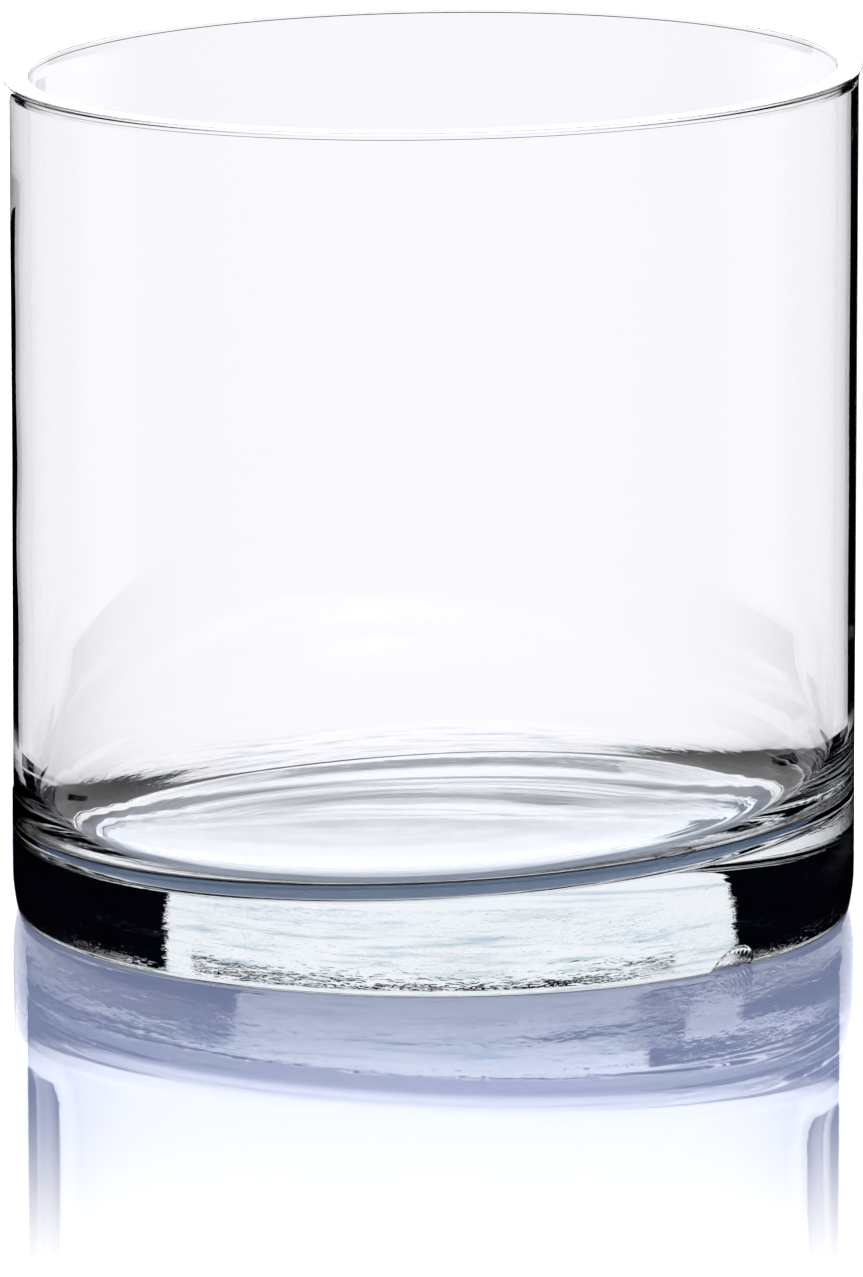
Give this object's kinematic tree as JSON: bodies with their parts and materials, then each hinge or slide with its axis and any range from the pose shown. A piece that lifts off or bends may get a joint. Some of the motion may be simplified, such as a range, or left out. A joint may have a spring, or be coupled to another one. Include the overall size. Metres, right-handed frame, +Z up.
{
  "type": "glass cylinder vase",
  "caption": "Clear glass cylinder flower vase, about as tall as it is wide, with a thick heavy base and a flat polished rim.",
  "frame": {"origin": "centre of the underside, on the surface that the vase stands on", "axes": "+Z up along the axis of the cylinder; the vase is round, so X and Y are any two horizontal directions"},
  "size_m": [0.152, 0.152, 0.152],
  "materials": {
    "clear_glass": "clear, fire-polished, faint cool tint where thick"
  },
  "bodies": {
    "root": {"heavy_base": "clear_glass", "cylinder_wall": "clear_glass", "rim_band": "clear_glass"}
  },
  "joints": []
}
